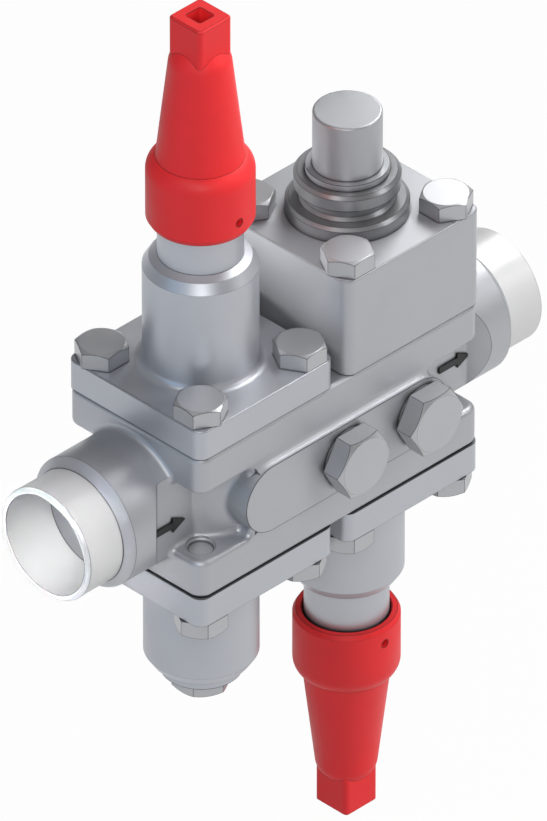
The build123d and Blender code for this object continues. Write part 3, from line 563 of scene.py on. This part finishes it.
@dataclass
class StopValve:
    """A stop valve: its bonnet, spindle, cone, packing and seal cap, all turned about one upright axis."""

    prefix: str
    axis_x: float

    def dress(self, paint: PaintShop) -> None:
        """Gives each node of the valve its finish.

        Args:
            paint: the paint shop.
        """
        coats = {
            "bonnet": BONNET,
            "bolts": BOLT,
            "seal_cap": CAP,
            "spindle": SPINDLE,
            "spindle_retainer": SPINDLE,
            "cone": SPINDLE,
            "cone_seal": SEAL,
            "gland_nut": BRASS,
            "packing": GRAPHITE,
            "gasket": GASKET,
            "cap_gasket": GASKET,
        }
        paint.coat_set(self.prefix, coats, self.axis_x)


@dataclass
class Filter:
    """The filter module: its cover with the cup, the strainer, the spring and the drain plug."""

    axis_x: float

    def dress(self, paint: PaintShop) -> None:
        """Gives each node of the filter its finish.

        Args:
            paint: the paint shop.
        """
        coats = {
            "cover": BONNET,
            "bolts": BOLT,
            "gasket": GASKET,
            "strainer": STRAINER,
            "strainer_mesh": STRAINER,
            "spring": SPINDLE,
            "drain_plug": BOLT,
            "drain_washer": WASHER,
        }
        paint.coat_set("filter", coats, self.axis_x)


@dataclass
class ControlValve:
    """The control valve: its tall cover, seat insert, cone, stem, magnet, adaptor and closed sleeve."""

    axis_x: float

    def dress(self, paint: PaintShop) -> None:
        """Gives each node of the control valve its finish.

        Args:
            paint: the paint shop.
        """
        coats = {
            "cover": COVER,
            "bolts": BOLT,
            "gasket": GASKET,
            "adaptor": ADAPTOR,
            "adaptor_seal": GASKET,
            "magnet_sleeve": SLEEVE,
            "magnet": MAGNET,
            "stem": SPINDLE,
            "stem_bush": BRASS,
            "bearing_balls": SPINDLE,
            "bearing_inner_race": SPINDLE,
            "bearing_outer_race": SPINDLE,
            "seat_insert": SPINDLE,
            "insert_seal": SEAL,
            "cone": SPINDLE,
            "cone_seal": SEAL,
        }
        paint.coat_set("control", coats, self.axis_x)


@dataclass
class SidePlugs:
    """The two hex plugs that close the side ports, with their washers."""

    places: tuple[str, str] = ("middle", "outlet")

    def dress(self, paint: PaintShop) -> None:
        """Gives the plugs and their washers their finishes.

        Args:
            paint: the paint shop.
        """
        for place in self.places:
            paint.coat(f"{place}_side_plug", BOLT)
            paint.coat(f"{place}_plug_washer", WASHER)


@dataclass
class SoftLamp:
    """One round area lamp: its place, what it faces, its size, power and colour.

    Reflections show it where in_metal is set, and the spread of its beam is in degrees.
    """

    name: str
    place: tuple[float, float, float]
    aim: tuple[float, float, float]
    size: float
    power: float
    colour: tuple[float, float, float] = (1.0, 1.0, 1.0)
    in_metal: bool = True
    spread: float = 180.0

    def build(self) -> None:
        """Makes the lamp, which the camera doesn't see."""
        data = bpy.data.lights.new(self.name, "AREA")
        data.shape = "DISK"
        data.size = self.size
        data.energy = self.power
        data.color = self.colour
        data.spread = radians(self.spread)
        lamp = bpy.data.objects.new(self.name, data)
        lamp.location = self.place
        turn = Vector(self.aim) - Vector(self.place)
        lamp.rotation_euler = turn.to_track_quat("-Z", "Y").to_euler()
        lamp.visible_camera = False
        lamp.visible_glossy = self.in_metal
        bpy.context.scene.collection.objects.link(lamp)
        log.info("lamp %s", self.name)


@dataclass
class Studio:
    """The floor, the surroundings, the lamps and the camera."""

    centre: tuple[float, float, float] = (0.1253, 0.0, 0.0)
    aim_right: float = -0.00026
    aim_up: float = 0.0009
    floor_height: float = -0.22
    floor_reach: float = 30.0
    floor_tone: float = 0.6
    floor_white_share: float = 0.97
    frame_height: float = 0.3199
    lens: float = 1100.0
    sensor: float = 36.0
    ambient: float = 0.15
    ambient_in_metal: float = 0.22
    lamps: list[SoftLamp] = field(default_factory=lambda: [
        SoftLamp("right_key", (0.95, -0.90, 0.30), MIDDLE, size=0.6, power=5.6, in_metal=False),
        SoftLamp("overhead_box", (0.72, -0.07, 0.85), (0.14, 0.0, 0.04), size=0.4, power=4.0),
        SoftLamp("left_fill", (-1.05, 0.05, 0.30), MIDDLE, size=0.7, power=1.5, colour=(0.25, 0.58, 1.0)),
        SoftLamp("front_fill", (-0.62, -0.75, 0.75), MIDDLE, size=0.5, power=4.8),
        SoftLamp("stub_light", (0.65, -0.65, 0.62), (0.10, 0.0, 0.0), size=0.3, power=1.5),
        SoftLamp("near_reflector", (0.45, 0.12, 0.33), (0.19, 0.0, 0.08), size=0.18, power=0.6),
        SoftLamp("high_left", (-0.55, -0.15, 1.0), MIDDLE, size=0.4, power=2.0),
        SoftLamp("rear_kicker", (0.05, 0.13, 0.10), (0.125, -0.005, 0.085), size=0.05, power=0.03,
                 in_metal=False, spread=30.0),
        SoftLamp("bore_light", (-0.60, -0.10, 0.16), (0.012, 0.006, -0.008), size=0.03, power=0.02,
                 spread=6.0),
    ])

    def build(self) -> None:
        """Makes everything round the object."""
        self.lay_floor()
        self.fill_air()
        for lamp in self.lamps:
            lamp.build()
        self.set_camera()

    def white_rays(self, bench: NodeBench) -> bpy.types.NodeSocket:
        """Marks the rays that meet a white floor: the camera's, reflected ones and those through glass.

        Args:
            bench: the bench of the tree that asks.

        Returns:
            A socket that is 1 for such a ray, and else 0.
        """
        rays = bench.add("ShaderNodeLightPath")
        seen = bench.reckon("MAXIMUM", rays.outputs["Is Camera Ray"], rays.outputs["Is Glossy Ray"])
        return bench.reckon("MAXIMUM", seen, rays.outputs["Is Transmission Ray"])

    def lay_floor(self) -> None:
        """Makes the pale floor, which looks white and keeps a soft shadow."""
        shape = bmesh.new()
        bmesh.ops.create_grid(shape, x_segments=1, y_segments=1, size=self.floor_reach,
                              matrix=Matrix.Translation((0.0, 0.0, self.floor_height)))
        mesh = bpy.data.meshes.new("floor")
        shape.to_mesh(mesh)
        shape.free()
        floor = bpy.data.objects.new("floor", mesh)
        bpy.context.scene.collection.objects.link(floor)
        made = bpy.data.materials.new("pale_floor")
        made.use_nodes = True
        bench = NodeBench(made.node_tree)
        matt = made.node_tree.nodes["Principled BSDF"]
        matt.inputs["Base Color"].default_value = (self.floor_tone, self.floor_tone, self.floor_tone, 1.0)
        matt.inputs["Roughness"].default_value = 1.0
        matt.inputs["Specular IOR Level"].default_value = 0.0
        glow = bench.add("ShaderNodeEmission", Strength=1.0)
        both = bench.add("ShaderNodeMixShader")
        share = bench.reckon("MULTIPLY", self.white_rays(bench), self.floor_white_share)
        bench.link(share, both.inputs[0])
        bench.link(matt.outputs[0], both.inputs[1])
        bench.link(glow.outputs[0], both.inputs[2])
        bench.link(both.outputs[0], made.node_tree.nodes["Material Output"].inputs["Surface"])
        mesh.materials.append(made)

    def fill_air(self) -> None:
        """Lights the scene softly from all round, and shows white to the camera."""
        world = bpy.data.worlds.new("studio_air")
        world.use_nodes = True
        bench = NodeBench(world.node_tree)
        sky = world.node_tree.nodes["Background"]
        sky.inputs["Color"].default_value = (1.0, 1.0, 1.0, 1.0)
        rays = bench.add("ShaderNodeLightPath")
        clear = bench.reckon("MAXIMUM", rays.outputs["Is Camera Ray"], rays.outputs["Is Transmission Ray"])
        metal = bench.reckon("MULTIPLY", rays.outputs["Is Glossy Ray"], self.ambient_in_metal)
        shown = bench.reckon("MAXIMUM", clear, metal)
        bench.link(bench.reckon("MAXIMUM", shown, self.ambient), sky.inputs["Strength"])
        bpy.context.scene.world = world

    def set_camera(self) -> None:
        """Makes the camera, which looks down the isometric direction with a very long lens."""
        data = bpy.data.cameras.new("camera")
        data.lens = self.lens
        data.sensor_width = self.sensor
        distance = self.frame_height * self.lens / self.sensor
        data.clip_end = 4 * distance
        away = Vector((-1.0, -1.0, 1.0)).normalized()
        right = Vector((1.0, -1.0, 0.0)).normalized()
        aim = Vector(self.centre) + self.aim_right * right + self.aim_up * away.cross(right)
        camera = bpy.data.objects.new("camera", data)
        camera.location = aim + away * distance
        camera.rotation_euler = (-away).to_track_quat("-Z", "Y").to_euler()
        bpy.context.scene.collection.objects.link(camera)
        bpy.context.scene.camera = camera


def main() -> None:
    """Builds and dresses each sub-assembly, then the studio."""
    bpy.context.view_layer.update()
    paint = PaintShop()
    housing = Housing()
    housing.build(paint)
    assemblies = (
        housing,
        StopValve("inlet_stop", INLET_AXIS),
        Filter(INLET_AXIS),
        ControlValve(OUTLET_AXIS),
        StopValve("outlet_stop", OUTLET_AXIS),
        SidePlugs(),
    )
    for assembly in assemblies:
        assembly.dress(paint)
    Studio().build()
    bpy.context.scene.view_settings.view_transform = "Standard"


if __name__ == "__main__":
    logging.basicConfig(level=logging.INFO, format="%(name)s: %(message)s")
    main()
